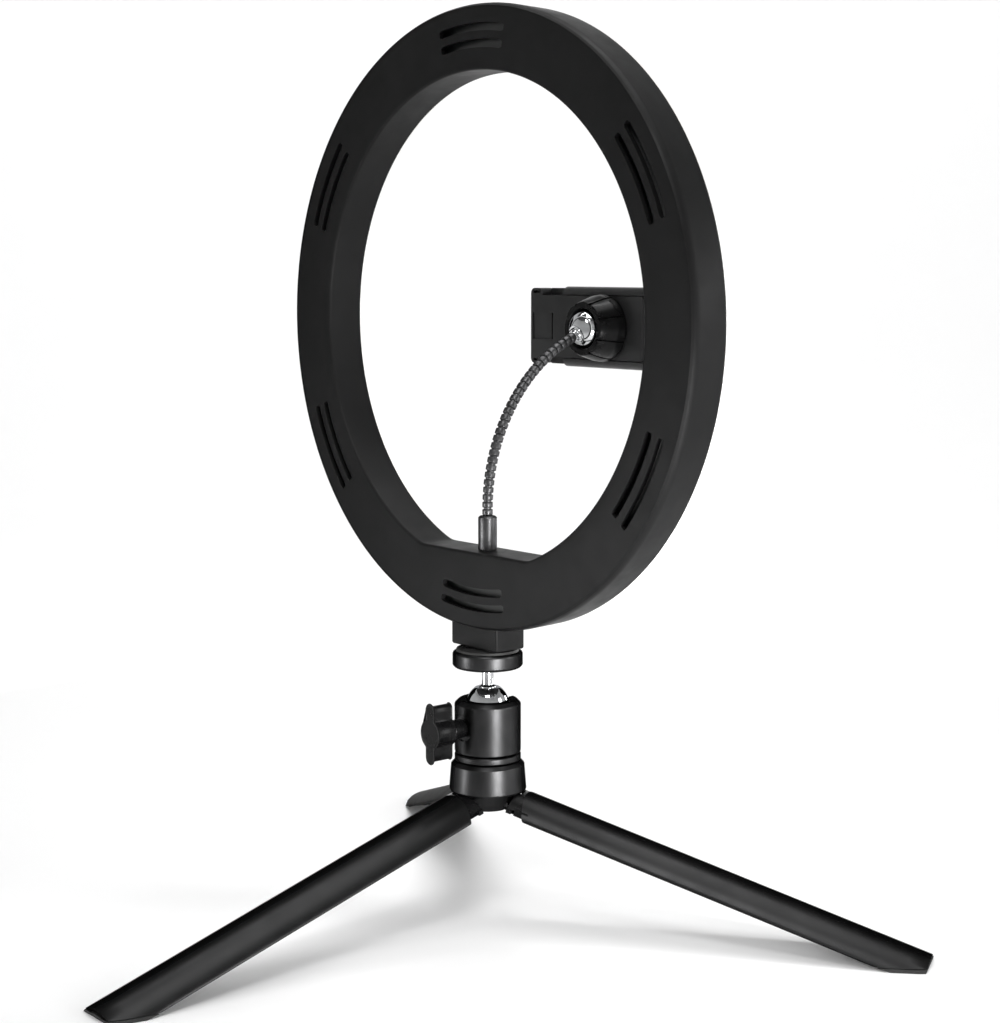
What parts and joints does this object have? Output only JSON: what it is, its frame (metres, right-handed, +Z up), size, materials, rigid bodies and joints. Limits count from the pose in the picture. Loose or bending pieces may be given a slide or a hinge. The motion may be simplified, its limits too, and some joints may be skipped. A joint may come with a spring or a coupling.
{
  "type": "ring light",
  "caption": "Ring-shaped lamp on a folding desk tripod, with a lockable ball head and a sprung phone holder on a bendable neck in the ring's opening.",
  "frame": {"origin": "on the floor under the middle of the outline, with the three feet on z = 0", "axes": "+Z up, -Y out of the lit side of the ring, +X towards the holder's fixed jaw"},
  "size_m": [0.3398, 0.2949, 0.3865],
  "materials": {
    "ring_plastic": "fine-textured black moulded ABS, slightly glossy along its edges",
    "diffuser_white": "milk-white satin acrylic",
    "board_white": "white solder-masked board with yellow-white LED chips",
    "steel": "plain bright steel",
    "brass": "plain turned brass",
    "rubber": "matt black rubber",
    "gunmetal": "dark gunmetal plating, satin",
    "chrome": "polished chrome plate",
    "nylon": "natural nylon",
    "knob_plastic": "black moulded nylon, soft gloss",
    "holder_plastic": "dark grey moulded ABS, satin",
    "head_metal": "satin black paint on die-cast metal",
    "leg_metal": "satin black anodised aluminium sheet"
  },
  "bodies": {
    "tripod": {"tripod_hub": "head_metal", "hub_screw": "steel", "hinge_pin_1": "steel", "hinge_pin_2": "steel", "hinge_pin_3": "steel", "pan_base": "head_metal", "retaining_clip": "steel"},
    "leg_1": {"leg_1": "leg_metal", "leg_insert_1": "knob_plastic", "foot_1": "rubber"},
    "leg_2": {"leg_2": "leg_metal", "leg_insert_2": "knob_plastic", "foot_2": "rubber"},
    "leg_3": {"leg_3": "leg_metal", "leg_insert_3": "knob_plastic", "foot_3": "rubber"},
    "head": {"ball_cup": "head_metal", "ball_seat": "nylon"},
    "brake": {"brake_shoe": "brass"},
    "knob": {"lock_knob": "knob_plastic", "lock_screw": "steel"},
    "ball": {"ball": "chrome"},
    "light": {"ball_stem": "chrome", "head_platform": "head_metal", "platform_pad": "rubber", "ring_housing": "ring_plastic", "diffuser": "diffuser_white", "led_board": "board_white", "board_screw_1": "steel", "board_screw_2": "steel", "board_screw_3": "steel", "mount_insert": "brass", "cable_gland": "rubber", "gooseneck_ferrule": "gunmetal", "gooseneck_nut": "steel"},
    "neck_1": {"gooseneck_1": "gunmetal"},
    "neck_2": {"gooseneck_2": "gunmetal"},
    "neck_3": {"gooseneck_3": "gunmetal"},
    "neck_4": {"gooseneck_4": "gunmetal"},
    "neck_5": {"gooseneck_5": "gunmetal"},
    "neck_6": {"gooseneck_6": "gunmetal", "holder_ball": "chrome"},
    "holder_seat": {"ball_pad": "nylon"},
    "collar": {"collar_nut": "knob_plastic"},
    "holder": {"holder_body": "holder_plastic", "fixed_jaw_pad": "rubber", "jaw_spring": "steel"},
    "jaw": {"moving_jaw": "holder_plastic", "moving_jaw_pad": "rubber"}
  },
  "joints": [
    {"name": "leg_1_fold", "type": "hinge", "parent": "tripod", "child": "leg_1", "pos_m": [0, -0.0333, 0.0512], "axis": [-1, 0, 0], "range_deg": [0, 72.5]},
    {"name": "leg_2_fold", "type": "hinge", "parent": "tripod", "child": "leg_2", "pos_m": [-0.00883, -0.0486, 0.0512], "axis": [0.5, -0.866, 0], "range_deg": [0, 72.5]},
    {"name": "leg_3_fold", "type": "hinge", "parent": "tripod", "child": "leg_3", "pos_m": [0.00883, -0.0486, 0.0512], "axis": [0.5, 0.866, 0], "range_deg": [0, 72.5]},
    {"name": "head_pan", "type": "hinge", "parent": "tripod", "child": "head", "pos_m": [0, -0.0435, 0.0929], "axis": [0, 0, 1], "continuous": true},
    {"name": "lock_screw_feed", "type": "slide", "parent": "head", "child": "brake", "axis": [0, 1, 0], "range_m": [0, 0.0007]},
    {"name": "lock_knob_turn", "type": "hinge", "parent": "brake", "child": "knob", "pos_m": [0, -0.0435, 0.0843], "axis": [0, 1, 0], "range_deg": [0, 360.5]},
    {"name": "ball_tilt", "type": "hinge", "parent": "head", "child": "ball", "pos_m": [0, -0.0435, 0.0929], "axis": [1, 0, 0], "range_deg": [-30, 90]},
    {"name": "ball_spin", "type": "hinge", "parent": "ball", "child": "light", "pos_m": [0, -0.0435, 0.0929], "axis": [0, 0, 1], "continuous": true},
    {"name": "neck_bend_1", "type": "hinge", "parent": "light", "child": "neck_1", "pos_m": [0, -0.0435, 0.1745], "axis": [1, 0, 0], "range_deg": [-15, 15]},
    {"name": "neck_bend_2", "type": "hinge", "parent": "neck_1", "child": "neck_2", "pos_m": [0, -0.04456, 0.19024], "axis": [1, 0, 0], "range_deg": [-15, 15]},
    {"name": "neck_bend_3", "type": "hinge", "parent": "neck_2", "child": "neck_3", "pos_m": [0, -0.04875, 0.20544], "axis": [1, 0, 0], "range_deg": [-15, 15]},
    {"name": "neck_bend_4", "type": "hinge", "parent": "neck_3", "child": "neck_4", "pos_m": [0, -0.05595, 0.21948], "axis": [1, 0, 0], "range_deg": [-15, 15]},
    {"name": "neck_bend_5", "type": "hinge", "parent": "neck_4", "child": "neck_5", "pos_m": [0, -0.06585, 0.23175], "axis": [1, 0, 0], "range_deg": [-15, 15]},
    {"name": "neck_bend_6", "type": "hinge", "parent": "neck_5", "child": "neck_6", "pos_m": [0, -0.07805, 0.24174], "axis": [1, 0, 0], "range_deg": [-15, 15]},
    {"name": "holder_swing", "type": "hinge", "parent": "neck_6", "child": "holder_seat", "pos_m": [0, -0.10067, 0.25248], "axis": [0, 0, 1], "range_deg": [-30, 30]},
    {"name": "holder_tilt", "type": "hinge", "parent": "holder_seat", "child": "collar", "pos_m": [0, -0.10067, 0.25248], "axis": [1, 0, 0], "range_deg": [-50, 15]},
    {"name": "holder_spin", "type": "hinge", "parent": "collar", "child": "holder", "pos_m": [0, -0.10067, 0.25248], "axis": [0, 1, 0], "continuous": true},
    {"name": "jaw_slide", "type": "slide", "parent": "holder", "child": "jaw", "axis": [-1, 0, 0], "range_m": [-0.0135, 0.019], "deforming": ["jaw_spring"]}
  ],
  "couplings": [
    {"joint": "lock_knob_turn", "follows": "lock_screw_feed", "rad_per_m": 8976}
  ]
}
